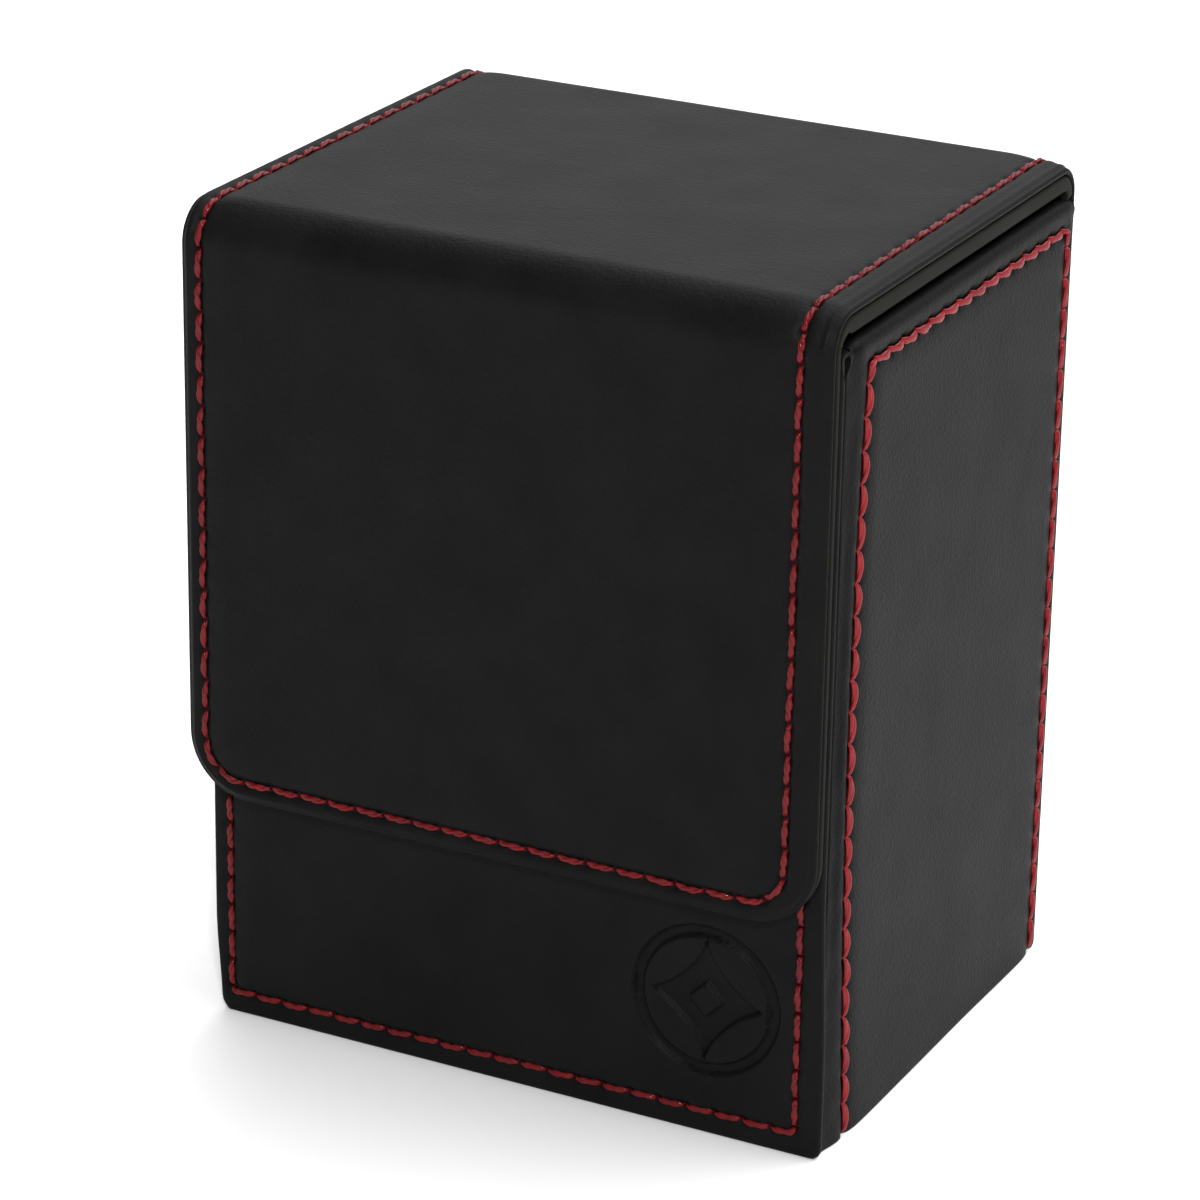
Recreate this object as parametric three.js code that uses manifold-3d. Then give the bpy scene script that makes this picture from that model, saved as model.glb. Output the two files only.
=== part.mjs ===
// A deck box for sleeved playing cards: a stiff leatherette tray with one wrap-around cover.
// The cover is glued to the tray's back, turns over the top as a lid, and comes down the front
// as a flap that two pairs of hidden magnets hold shut. Its two bends are leather hinges.
// Millimetres. +X is the right side, -Y the front, +Z up. z = 0 is the surface it stands on.

import * as THREE from 'three';
import { mergeVertices } from 'three/addons/utils/BufferGeometryUtils.js';
import Module from 'manifold-3d';

// ---- driving dimensions ----

const TRAY = { left: -41.8, right: 43.1, front: -33.3, back: 34.7, rim: 103.1 };
const COVER = { left: -43.5, right: 42.5, front: -36.3, back: 36.3, top: 108 };

const GLUE = 0.1; // a glue line between two layers
const SKIN = 1.4; // the tray's leatherette with its thin foam
const BOARD = 2.2; // the tray's greyboard walls
const BASE_SKIN = 0.9;
const BASE_BOARD = 2;
const LINING = 0.6; // microfibre inside the tray
const RIM_CAP = 0.6; // where a skin or lining is turned over a wall's top edge

const COVER_SKIN = 0.6; // the cover's leatherette
const COVER_LAYER = 1.5; // the cover's outer layer: leatherette turned round a thin board
const TURNED_EDGE = 1.6; // how far the cover's boards stop short of its edges
const HINGE_END = 0.8; // how far they stop short of the hinges
const LID_LINING = 1.85;
const FLAP_LINING = 1.3;

const BEND = { front: 5.5, back: 4.5 }; // outer radii of the two leather hinges
const FLAP_BOTTOM = 31.1;
const FLAP_CORNER = 8.5;
const BACK_BOTTOM = 0.6;
const BACK_CORNER = 3;
const PANEL_CORNER = 3;

const THREAD = { width: 0.9, sunk: 0.4, proud: 0.3, pressed: 0 }; // pressed flush under the flap
const CHANNEL = { width: 1.3, depth: 0.5 };
const COVER_INSET = { left: 2.6, right: 3.5, bottom: 2.7 }; // from its edges to its stitch line
const FLAP_STITCH_CORNER = 5;
const FRONT_INSET = { left: 2.3, right: 3.5, bottom: 2.9, top: 3.5 };
const SIDE_INSET = { front: 5.9, back: 2, top: 3.5, bottom: 1.2 };

const MAGNET = { radius: 6, flap: 0.7, keeper: 1.5, spread: 22, height: 42, clearance: 0.15 };

// ---- places that follow from them ----

const TRAY_MIDDLE = (TRAY.left + TRAY.right) / 2;
const BOARD_TOP = TRAY.rim - RIM_CAP - GLUE;
const WALL = SKIN + GLUE + BOARD; // from a wall's outer face to the back of its lining
// Where the hinges end: on the flap and the cover's back, and on the lid.
const HINGE_Z = { front: COVER.top - BEND.front, back: COVER.top - BEND.back };
const LID_FRONT = COVER.front + BEND.front;
const LID_BACK = COVER.back - BEND.back;
const BEVEL = 0.5;

// ---- materials ----

function finish(colour, roughness, metalness = 0) {
  return new THREE.MeshStandardMaterial({ color: colour, roughness, metalness });
}

const leatherette = finish(0x1c1c1d, 0.55);
const coverLining = finish(0x17180f, 0.42);
const microfibre = finish(0x202022, 0.95);
const greyboard = finish(0x77736b, 0.9);
const redThread = finish(0xa01c26, 0.5);
const magnetSteel = finish(0xb4b6b8, 0.3, 1);

// ---- solids ----

const wasm = await Module();
wasm.setup();

function solidOf(geometry) {
  const bare = geometry.clone();
  bare.deleteAttribute('normal');
  bare.deleteAttribute('uv');
  const merged = mergeVertices(bare, 1e-4);
  return new wasm.Manifold(new wasm.Mesh({
    numProp: 3,
    vertProperties: new Float32Array(merged.attributes.position.array),
    triVerts: new Uint32Array(merged.index.array),
  }));
}

const group = new THREE.Group();

function addNode(name, solid, material) {
  const { vertProperties, triVerts } = solid.getMesh();
  const geometry = new THREE.BufferGeometry();
  geometry.setAttribute('position', new THREE.BufferAttribute(new Float32Array(vertProperties), 3));
  geometry.setIndex(new THREE.BufferAttribute(new Uint32Array(triVerts), 1));
  geometry.computeVertexNormals();
  const mesh = new THREE.Mesh(geometry, material);
  mesh.name = name;
  group.add(mesh);
}

function block(x0, x1, y0, y1, z0, z1) {
  const box = new THREE.BoxGeometry(x1 - x0, y1 - y0, z1 - z0);
  box.translate((x0 + x1) / 2, (y0 + y1) / 2, (z0 + z1) / 2);
  return solidOf(box);
}

// A rectangle with its own radius at each corner: bottom left, bottom right, top right, top left.
function rectangle(u0, u1, v0, v1, [bl, br, tr, tl]) {
  const shape = new THREE.Shape();
  shape.moveTo(u0 + bl, v0);
  shape.lineTo(u1 - br, v0);
  if (br) shape.absarc(u1 - br, v0 + br, br, -Math.PI / 2, 0);
  shape.lineTo(u1, v1 - tr);
  if (tr) shape.absarc(u1 - tr, v1 - tr, tr, 0, Math.PI / 2);
  shape.lineTo(u0 + tl, v1);
  if (tl) shape.absarc(u0 + tl, v1 - tl, tl, Math.PI / 2, Math.PI);
  shape.lineTo(u0, v0 + bl);
  if (bl) shape.absarc(u0 + bl, v0 + bl, bl, Math.PI, 1.5 * Math.PI);
  return shape;
}

// Extrusions. The outline's two axes are the remaining ones: (y, z), (x, z) and (x, y).
const FROM_OUTLINE = {
  x: new THREE.Matrix4().set(0, 0, 1, 0, 1, 0, 0, 0, 0, 1, 0, 0, 0, 0, 0, 1),
  y: new THREE.Matrix4().set(1, 0, 0, 0, 0, 0, -1, 0, 0, 1, 0, 0, 0, 0, 0, 1),
  z: new THREE.Matrix4(),
};

function extrude(shape, axis, low, high, bevel = 0) {
  const geometry = new THREE.ExtrudeGeometry(shape, {
    depth: high - low - 2 * bevel,
    curveSegments: 6,
    bevelEnabled: bevel > 0,
    bevelThickness: bevel,
    bevelSize: bevel,
    bevelOffset: -bevel,
    bevelSegments: 2,
  });
  geometry.translate(0, 0, axis === 'y' ? bevel - high : bevel + low);
  geometry.applyMatrix4(FROM_OUTLINE[axis]);
  return solidOf(geometry);
}

// A strip of constant width along an open or closed line of [u, v] points.
function bandShape(line, width, closed = false) {
  const count = line.length;
  const at = (i) => (closed ? line[(i + count) % count] : line[Math.min(Math.max(i, 0), count - 1)]);
  const side = (sign) => line.map(([u, v], i) => {
    const before = new THREE.Vector2(u - at(i - 1)[0], v - at(i - 1)[1]).normalize();
    const after = new THREE.Vector2(at(i + 1)[0] - u, at(i + 1)[1] - v).normalize();
    const along = before.clone().add(after).normalize();
    const reach = width / 2 / (before.lengthSq() && after.lengthSq() ? along.dot(after) : 1);
    return new THREE.Vector2(u - sign * along.y * reach, v + sign * along.x * reach);
  });
  if (!closed) return new THREE.Shape([...side(-1), ...side(1).reverse()]);
  const shape = new THREE.Shape(side(-1));
  shape.holes.push(new THREE.Path(side(1)));
  return shape;
}

function cornerArc(u, v, radius, from, steps = 6) {
  return Array.from({ length: steps + 1 }, (_, i) => {
    const angle = from + (Math.PI / 2) * (i / steps);
    return [u + radius * Math.cos(angle), v + radius * Math.sin(angle)];
  });
}

// A U of stitching: down the left, along the bottom, up the right.
function stitchU(left, right, bottom, top, radius) {
  return [
    [left, top],
    ...cornerArc(left + radius, bottom + radius, radius, Math.PI),
    ...cornerArc(right - radius, bottom + radius, radius, 1.5 * Math.PI),
    [right, top],
  ];
}

// Lays a thread in a channel on a face. face: the face's level; out: +1 or -1, its outward way.
function stitch(name, panel, line, axis, face, out, { closed = false, proud = THREAD.proud } = {}) {
  const slab = (width, deep, high) => {
    const ends = [face - out * deep, face + out * high].sort((a, b) => a - b);
    return extrude(bandShape(line, width, closed), axis, ends[0], ends[1]);
  };
  addNode(name, slab(THREAD.width, THREAD.sunk, proud), redThread);
  return panel.subtract(slab(CHANNEL.width, CHANNEL.depth, 1));
}

function disc(x, z, y0, y1, radius) {
  const rod = new THREE.CylinderGeometry(radius, radius, y1 - y0, 32);
  rod.translate(x, (y0 + y1) / 2, z);
  return solidOf(rod);
}

const MAGNET_X = [TRAY_MIDDLE - MAGNET.spread, TRAY_MIDDLE + MAGNET.spread];
const MAGNET_SIDES = ['left', 'right'];

// ---- tray: base ----

function buildBase() {
  const x = [TRAY.left + SKIN + GLUE, TRAY.right - SKIN - GLUE];
  const y = [TRAY.front + SKIN + GLUE, TRAY.back];
  const boardZ = BASE_SKIN + GLUE;
  const liningZ = boardZ + BASE_BOARD + GLUE;
  addNode('base_leather', block(...x, ...y, 0, BASE_SKIN), leatherette);
  addNode('base_board', block(...x, ...y, boardZ, boardZ + BASE_BOARD), greyboard);
  const inner = WALL;
  addNode('base_lining', block(
    TRAY.left + inner + GLUE, TRAY.right - inner - GLUE,
    TRAY.front + inner + GLUE, TRAY.back - BOARD - GLUE,
    liningZ, liningZ + LINING,
  ), microfibre);
}

const WALL_FOOT = BASE_SKIN + BASE_BOARD + 2 * GLUE;
const LINING_FOOT = WALL_FOOT + LINING + GLUE;
const LINING_TOP = TRAY.rim - RIM_CAP;

// ---- tray: front wall ----

function buildFrontWall() {
  const outside = TRAY.front;
  const corners = [PANEL_CORNER, PANEL_CORNER, 0, 0];
  const face = rectangle(TRAY.left, TRAY.right, 0, TRAY.rim, corners);
  const cap = block(
    TRAY.left + WALL + GLUE, TRAY.right - WALL - GLUE,
    outside + SKIN / 2, outside + WALL, TRAY.rim - RIM_CAP, TRAY.rim,
  );
  const skin = extrude(face, 'y', outside, outside + SKIN, BEVEL).add(cap);
  const line = [
    [TRAY.left + FRONT_INSET.left, FRONT_INSET.bottom],
    [TRAY.right - FRONT_INSET.right, FRONT_INSET.bottom],
    [TRAY.right - FRONT_INSET.right, TRAY.rim - FRONT_INSET.top],
    [TRAY.left + FRONT_INSET.left, TRAY.rim - FRONT_INSET.top],
  ];
  const row = { closed: true, proud: THREAD.pressed };
  addNode('front_leather', stitch('front_stitching', skin, line, 'y', outside, -1, row), leatherette);

  const y = outside + SKIN + GLUE;
  let board = block(
    TRAY.left + SKIN + GLUE, TRAY.right - SKIN - GLUE, y, y + BOARD, WALL_FOOT, BOARD_TOP,
  );
  MAGNET_X.forEach((x, i) => {
    const bore = MAGNET.radius + MAGNET.clearance;
    board = board.subtract(disc(x, MAGNET.height, y - 1, y + MAGNET.keeper + GLUE, bore));
    const keeper = disc(x, MAGNET.height, y, y + MAGNET.keeper, MAGNET.radius);
    addNode(`keeper_magnet_${MAGNET_SIDES[i]}`, keeper, magnetSteel);
  });
  addNode('front_board', board, greyboard);

  const back = outside + WALL + GLUE;
  addNode('front_lining', block(
    TRAY.left + WALL + GLUE, TRAY.right - WALL - GLUE, back, back + LINING, LINING_FOOT, LINING_TOP,
  ), microfibre);
}

// ---- tray: side walls ----

function buildSideWall(side, outside, inward) {
  const front = TRAY.front + SKIN + GLUE;
  const reach = (a, b) => [outside + inward * a, outside + inward * b].sort((p, q) => p - q);
  const face = rectangle(front, TRAY.back, 0, TRAY.rim, [0, 0, 1, 1]);
  const cap = block(...reach(SKIN / 2, WALL), front, TRAY.back, TRAY.rim - RIM_CAP, TRAY.rim);
  const skin = extrude(face, 'x', ...reach(0, SKIN), BEVEL).add(cap);
  const line = [
    [front - SKIN + SIDE_INSET.front, SIDE_INSET.bottom],
    [front - SKIN + SIDE_INSET.front, TRAY.rim - SIDE_INSET.top],
    [TRAY.back - SIDE_INSET.back, TRAY.rim - SIDE_INSET.top],
    [TRAY.back - SIDE_INSET.back, SIDE_INSET.bottom],
  ];
  const stitched = stitch(`${side}_stitching`, skin, line, 'x', outside, -inward);
  addNode(`${side}_leather`, stitched, leatherette);

  addNode(`${side}_board`, block(
    ...reach(SKIN + GLUE, WALL),
    TRAY.front + WALL + GLUE, TRAY.back - BOARD - GLUE, WALL_FOOT, BOARD_TOP,
  ), greyboard);
  addNode(`${side}_lining`, block(
    ...reach(WALL + GLUE, WALL + GLUE + LINING),
    TRAY.front + WALL + 2 * GLUE + LINING, TRAY.back - BOARD - 2 * GLUE - LINING,
    LINING_FOOT, LINING_TOP,
  ), microfibre);
}

// ---- tray: back wall, which the cover's back is glued to ----

function buildBackWall() {
  const board = [TRAY.back - BOARD, TRAY.back];
  addNode('back_board', block(
    TRAY.left + SKIN + GLUE, TRAY.right - SKIN - GLUE, ...board, WALL_FOOT, BOARD_TOP,
  ), greyboard);
  const x = [TRAY.left + WALL + GLUE, TRAY.right - WALL - GLUE];
  const face = board[0] - GLUE;
  const sheet = block(...x, face - LINING, face, LINING_FOOT, TRAY.rim);
  const turned = block(...x, face - LINING, TRAY.back, TRAY.rim - RIM_CAP, TRAY.rim);
  addNode('back_lining', sheet.add(turned), microfibre);
}

// ---- cover ----

// An upright panel of the cover: leatherette turned round the edge of a board.
// out is the way its good side faces, -1 for the flap and +1 for the back.
function uprightPanel(face, out, bottom, hingeZ, corner) {
  const slab = (inset, from, to, bevel) => {
    const ends = [face - out * from, face - out * to].sort((a, b) => a - b);
    const radius = Math.max(corner - inset, 0.5);
    const top = hingeZ - GLUE - (inset ? HINGE_END : 0);
    const outline = rectangle(
      COVER.left + inset, COVER.right - inset, bottom + inset, top, [radius, radius, 0, 0],
    );
    return extrude(outline, 'y', ...ends, bevel);
  };
  const board = slab(TURNED_EDGE, COVER_SKIN + GLUE, COVER_LAYER, 0);
  const pocket = slab(TURNED_EDGE - GLUE, COVER_SKIN, COVER_LAYER + 1, 0);
  const leather = slab(0, 0, COVER_LAYER, COVER_SKIN - GLUE).subtract(pocket);
  return { leather, board };
}

function coverStitchX() {
  return [COVER.left + COVER_INSET.left, COVER.right - COVER_INSET.right];
}

function buildCoverBack() {
  const { leather, board } = uprightPanel(COVER.back, 1, BACK_BOTTOM, HINGE_Z.back, BACK_CORNER);
  const line = stitchU(
    ...coverStitchX(), BACK_BOTTOM + COVER_INSET.bottom, HINGE_Z.back - GLUE, BACK_CORNER,
  );
  const stitched = stitch('cover_back_stitching', leather, line, 'y', COVER.back, 1);
  addNode('cover_back_leather', stitched, leatherette);
  addNode('cover_back_board', board, greyboard);
}

function buildFlap() {
  const top = HINGE_Z.front;
  const { leather, board } = uprightPanel(COVER.front, -1, FLAP_BOTTOM, top, FLAP_CORNER);
  const line = stitchU(
    ...coverStitchX(), FLAP_BOTTOM + COVER_INSET.bottom, top - GLUE, FLAP_STITCH_CORNER,
  );
  addNode('flap_leather', stitch('flap_stitching', leather, line, 'y', COVER.front, -1), leatherette);

  const back = COVER.front + COVER_LAYER;
  let drilled = board;
  MAGNET_X.forEach((x, i) => {
    const bore = MAGNET.radius + MAGNET.clearance;
    drilled = drilled.subtract(disc(x, MAGNET.height, COVER.front, back + 1, bore));
    const magnet = disc(x, MAGNET.height, back - MAGNET.flap, back, MAGNET.radius);
    addNode(`flap_magnet_${MAGNET_SIDES[i]}`, magnet, magnetSteel);
  });
  addNode('flap_board', drilled, greyboard);

  const radius = FLAP_CORNER;
  const outline = rectangle(
    COVER.left, COVER.right, FLAP_BOTTOM, top - GLUE, [radius, radius, 0, 0],
  );
  const lining = extrude(outline, 'y', back + GLUE, back + GLUE + FLAP_LINING, BEVEL / 2);
  addNode('flap_lining', lining, coverLining);
}

function buildLid() {
  const y = [LID_FRONT + GLUE, LID_BACK - GLUE];
  const bottom = COVER.top - COVER_LAYER;
  const nose = COVER_LAYER / 2 - 0.05;
  const roll = rectangle(COVER.left, COVER.right, bottom, COVER.top, [nose, nose, nose, nose]);
  const edge = TURNED_EDGE;
  const pocket = block(
    COVER.left + edge - GLUE, COVER.right - edge + GLUE,
    y[0] + HINGE_END - GLUE, y[1] - HINGE_END + GLUE, bottom - 1, COVER.top - COVER_SKIN,
  );
  let leather = extrude(roll, 'y', ...y).subtract(pocket);
  coverStitchX().forEach((x, i) => {
    const line = [[x, y[0]], [x, y[1]]];
    leather = stitch(`lid_stitching_${MAGNET_SIDES[i]}`, leather, line, 'z', COVER.top, 1);
  });
  addNode('lid_leather', leather, leatherette);
  addNode('lid_board', block(
    COVER.left + edge, COVER.right - edge, y[0] + HINGE_END, y[1] - HINGE_END,
    bottom, COVER.top - COVER_SKIN - GLUE,
  ), greyboard);
  const liningTop = bottom - GLUE;
  addNode('lid_lining', block(
    COVER.left, COVER.right, ...y, liningTop - LID_LINING, liningTop,
  ), coverLining);
}

// A leather hinge turns a quarter about the line where its bend is centred. Each of its two
// surfaces has its own reach (towards the flap or the back) and rise (towards the lid).
function quarterBend(side, outer, inner) {
  const way = side === 'front' ? -1 : 1;
  const centre = side === 'front' ? LID_FRONT : LID_BACK;
  const arc = ([reach, rise]) => Array.from({ length: 9 }, (_, i) => {
    const angle = (Math.PI / 2) * (i / 8);
    return new THREE.Vector2(
      centre + way * reach * Math.sin(angle), HINGE_Z[side] + rise * Math.cos(angle),
    );
  });
  const points = [...arc(outer), ...arc(inner).reverse()];
  return extrude(new THREE.Shape(points), 'x', COVER.left, COVER.right);
}

function buildHinge(side) {
  const outer = BEND[side];
  const inner = outer - COVER_LAYER;
  const leather = quarterBend(side, [outer, outer], [inner, inner]);
  addNode(`${side}_hinge_leather`, leather, leatherette);
  const top = inner - GLUE;
  const lining = quarterBend(side, [top, top], [top - FLAP_LINING, top - LID_LINING]);
  addNode(`${side}_hinge_lining`, lining, coverLining);
}

buildBase();
buildFrontWall();
buildSideWall('left', TRAY.left, 1);
buildSideWall('right', TRAY.right, -1);
buildBackWall();
buildCoverBack();
buildHinge('back');
buildLid();
buildHinge('front');
buildFlap();

export default group;
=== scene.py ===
"""Looks of a leatherette card deck box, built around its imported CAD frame.

The shapes are worked out in millimetres and made in metres. Every leather panel starts as a flat
rounded slab with two flat coordinates, u and v, and a height h over its face. A place function
then lays it on the box: straight on a wall, or along a profile that turns over an edge.
"""

import math

import bmesh
import bpy
import numpy as np
from mathutils import Matrix, Vector


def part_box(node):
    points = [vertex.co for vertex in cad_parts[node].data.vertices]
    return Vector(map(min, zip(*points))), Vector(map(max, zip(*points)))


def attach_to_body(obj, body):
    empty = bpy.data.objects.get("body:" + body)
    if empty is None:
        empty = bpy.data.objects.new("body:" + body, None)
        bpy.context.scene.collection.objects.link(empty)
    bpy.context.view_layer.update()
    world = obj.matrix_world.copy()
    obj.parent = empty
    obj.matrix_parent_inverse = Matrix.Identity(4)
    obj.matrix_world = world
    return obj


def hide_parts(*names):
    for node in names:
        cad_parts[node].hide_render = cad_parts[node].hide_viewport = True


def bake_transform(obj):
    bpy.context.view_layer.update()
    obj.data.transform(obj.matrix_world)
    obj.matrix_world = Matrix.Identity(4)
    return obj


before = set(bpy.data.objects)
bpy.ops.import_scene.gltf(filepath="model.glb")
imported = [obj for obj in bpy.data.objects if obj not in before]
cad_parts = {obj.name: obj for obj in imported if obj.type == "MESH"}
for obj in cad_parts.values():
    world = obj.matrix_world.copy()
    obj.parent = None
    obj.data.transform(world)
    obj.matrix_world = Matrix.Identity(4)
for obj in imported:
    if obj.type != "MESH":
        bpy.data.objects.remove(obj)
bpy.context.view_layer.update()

MM = 0.001


def box_mm(node):
    low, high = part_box(node)
    return np.array(low) / MM, np.array(high) / MM


# ---- sizes that the frame gives, in millimetres ----

FRONT_LOW, FRONT_HIGH = box_mm("front_leather")
SIDE_LOW, SIDE_HIGH = box_mm("right_leather")
FLAP_LOW, FLAP_HIGH = box_mm("flap_leather")
LID_LOW, LID_HIGH = box_mm("lid_leather")
BACK_LOW, BACK_HIGH = box_mm("cover_back_leather")

LEFT, RIGHT = FRONT_LOW[0], FRONT_HIGH[0]
FRONT, BACK, RIM = FRONT_LOW[1], SIDE_HIGH[1], FRONT_HIGH[2]
COVER_LEFT, COVER_RIGHT = FLAP_LOW[0], FLAP_HIGH[0]
COVER_FRONT, COVER_BACK, COVER_TOP = FLAP_LOW[1], BACK_HIGH[1], LID_HIGH[2]
FLAP_BOTTOM, BACK_BOTTOM = FLAP_LOW[2], BACK_LOW[2]
COVER_LAYER = LID_HIGH[2] - LID_LOW[2]

# The two leather hinges: outer radii, and the places where their bends start and end.
GLUE = 0.1
BEND_FRONT = LID_LOW[1] - GLUE - COVER_FRONT
BEND_BACK = COVER_BACK - LID_HIGH[1] - GLUE
HINGE_Z_FRONT = COVER_TOP - BEND_FRONT
HINGE_Z_BACK = COVER_TOP - BEND_BACK

# ---- sizes of the soft finish, in millimetres ----

COVER_SKIN = 0.6  # the outer leather's thickness over board and in the bends
TURNED_EDGE = 1.25  # width of the edge where the leather is turned in and fills the whole layer
COVER_NOSE = 0.45  # radius of the cover's rolled edge
FLAP_CORNER, BACK_CORNER = 8.5, 3.0
FLAP_STITCH_CORNER = 5.0
# From the edge in to the seam. The cover's right seam lies further in than its left one.
COVER_INSET = {"left": 2.6, "right": 4.0, "bottom": 2.7}
FRONT_INSET = {"left": 2.3, "right": 3.5, "bottom": 2.9, "top": 3.5}
SIDE_INSET = {"front": 5.9, "back": 2.0, "top": 3.5}
STITCH_PITCH = {"cover": 4.0, "front": 3.8, "side": 4.0}
GRID = 0.6  # usual spacing of a slab's grid lines

# ---- camera and light ----

CAMERA = {
    "place": (0.25006, -0.49739, 0.27651), "lens": 143.06,
    "azimuth": 27.12, "elevation": 21.90, "roll": 0.95,
}
LIGHT_AIM = Vector((0, 0, 0.05))
# How grey the studio is, by the Z part of the way out to it.
STUDIO_GREYS = ((0.0, 0.8), (0.1, 0.7), (0.4, 0.3), (1.0, 0.22))
FLOOR_REACH = 12.0


def add_camera():
    data = bpy.data.cameras.new("camera")
    data.lens = CAMERA["lens"]
    data.clip_end = 20
    camera = bpy.data.objects.new("camera", data)
    bpy.context.scene.collection.objects.link(camera)
    azimuth, elevation = math.radians(CAMERA["azimuth"]), math.radians(CAMERA["elevation"])
    ahead = Vector((
        -math.sin(azimuth) * math.cos(elevation),
        math.cos(azimuth) * math.cos(elevation),
        -math.sin(elevation),
    ))
    roll = Matrix.Rotation(math.radians(CAMERA["roll"]), 3, "Z")
    camera.rotation_euler = (ahead.to_track_quat("-Z", "Y").to_matrix() @ roll).to_euler()
    camera.location = CAMERA["place"]
    bpy.context.scene.camera = camera


def add_light(name, kind, strength, facing):
    data = bpy.data.lights.new(name, kind)
    data.energy = strength
    light = bpy.data.objects.new(name, data)
    bpy.context.scene.collection.objects.link(light)
    light.rotation_euler = facing.to_track_quat("-Z", "Y").to_euler()
    return light


def add_area_light(name, place, size, watts):
    light = add_light(name, "AREA", watts, LIGHT_AIM - Vector(place))
    light.location = place
    light.data.shape = "RECTANGLE"
    light.data.size, light.data.size_y = size


def add_sun(name, way, spread, strength):
    """Soft light of one strength everywhere, from that way; spread is the angle it fills."""
    light = add_light(name, "SUN", strength, -Vector(way))
    light.data.angle = math.radians(spread)


def add_world():
    """A studio that is pale at the horizon and greyer overhead."""
    world = bpy.data.worlds.new("studio")
    world.use_nodes = True
    nodes, links = world.node_tree.nodes, world.node_tree.links
    ways = nodes.new("ShaderNodeTexCoord")
    parts = nodes.new("ShaderNodeSeparateXYZ")
    ramp = nodes.new("ShaderNodeValToRGB")
    for at, _ in STUDIO_GREYS[2:]:
        ramp.color_ramp.elements.new(at)
    for element, (at, grey) in zip(ramp.color_ramp.elements, STUDIO_GREYS):
        element.position, element.color = at, (grey, grey, grey, 1)
    links.new(ways.outputs["Generated"], parts.inputs["Vector"])
    links.new(parts.outputs["Z"], ramp.inputs["Fac"])
    links.new(ramp.outputs["Color"], nodes["Background"].inputs["Color"])
    bpy.context.scene.world = world


def add_lights():
    add_sun("overhead", way=(0.2, 0.4, 1.0), spread=70, strength=3.7)
    add_area_light("softbox_back", place=(-0.55, 1.25, 0.75), size=(1.1, 0.6), watts=3.2)
    add_area_light("small_lamp", place=(0.46, -0.82, 0.76), size=(0.12, 0.12), watts=8)
    bpy.context.scene.view_settings.view_transform = "Standard"


# ---- materials ----


class Look:
    """A material's node tree, with short ways to add the nodes that the looks share."""

    def __init__(self, name, roughness, specular=0.5, metallic=0.0):
        self.material = bpy.data.materials.new(name)
        self.material.use_nodes = True
        self.tree = self.material.node_tree
        self.shader = self.tree.nodes["Principled BSDF"]
        self.shader.inputs["Roughness"].default_value = roughness
        self.shader.inputs["Specular IOR Level"].default_value = specular
        self.shader.inputs["Metallic"].default_value = metallic
        self.place = self.node("ShaderNodeTexCoord").outputs["Object"]

    def node(self, kind, **inputs):
        node = self.tree.nodes.new(kind)
        for key, value in inputs.items():
            self.give(node, key.replace("_", " ").title(), value)
        return node

    def give(self, node, key, value):
        if isinstance(value, bpy.types.NodeSocket):
            self.tree.links.new(value, node.inputs[key])
        else:
            node.inputs[key].default_value = value

    def stretched(self, scale):
        return self.node("ShaderNodeMapping", vector=self.place, scale=scale).outputs["Vector"]

    def noise(self, size_mm, detail, vector=None):
        scale = 1 / (size_mm * MM)
        vector = vector or self.place
        made = self.node("ShaderNodeTexNoise", vector=vector, scale=scale, detail=detail)
        return made.outputs["Fac"]

    def cells(self, size_mm):
        made = self.node("ShaderNodeTexVoronoi", vector=self.place, scale=1 / (size_mm * MM))
        return made.outputs["Distance"]

    def ramp(self, value, stops):
        made = self.node("ShaderNodeValToRGB", fac=value)
        for element, (at, colour) in zip(made.color_ramp.elements, stops):
            element.position, element.color = at, (*colour, 1)
        return made.outputs["Color"]

    def spread(self, value, low, high):
        """Spreads a noise, which keeps mostly between 0.3 and 0.7, over low to high."""
        made = self.node("ShaderNodeMapRange", value=value)
        limits = {"From Min": 0.3, "From Max": 0.7, "To Min": low, "To Max": high}
        for key, number in limits.items():
            made.inputs[key].default_value = number
        return made.outputs["Result"]

    def math(self, operation, a, b):
        made = self.node("ShaderNodeMath")
        made.operation = operation
        self.give(made, 0, a)
        self.give(made, 1, b)
        return made.outputs["Value"]

    def mixed(self, first, share, second):
        """That share of the first value and the rest of the second."""
        part = self.math("MULTIPLY", first, share)
        return self.math("ADD", part, self.math("MULTIPLY", second, 1 - share))

    def colour(self, value, low, high):
        """Each end of the ramp is (value, colour)."""
        self.give(self.shader, "Base Color", self.ramp(value, (low, high)))

    def rough(self, value, low, high):
        self.give(self.shader, "Roughness", self.spread(value, low, high))

    def bump(self, *layers):
        """Each layer is (height, depth in millimetres)."""
        normal = None
        for height, depth in layers:
            made = self.node("ShaderNodeBump", height=height, distance=depth * MM)
            if normal:
                self.give(made, "Normal", normal)
            normal = made.outputs["Normal"]
        self.give(self.shader, "Normal", normal)


def leatherette_look():
    """Black embossed leatherette: fine pebbles, faint mottling, and streaks from the calender."""
    look = Look("leatherette", 0.5, specular=0.06)
    pebbles = look.cells(0.55)
    creases = look.noise(0.3, detail=4)
    streaks = look.noise(1.2, detail=3, vector=look.stretched((0.12, 1, 1)))
    mottle = look.noise(9, detail=4)
    tone = look.mixed(mottle, 0.6, creases)
    look.colour(tone, (0.36, (0.0030, 0.0031, 0.0031)), (0.64, (0.0056, 0.0057, 0.0055)))
    look.rough(mottle, 0.47, 0.53)
    look.bump((pebbles, 0.035), (creases, 0.03), (streaks, 0.02))
    return look.material


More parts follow.
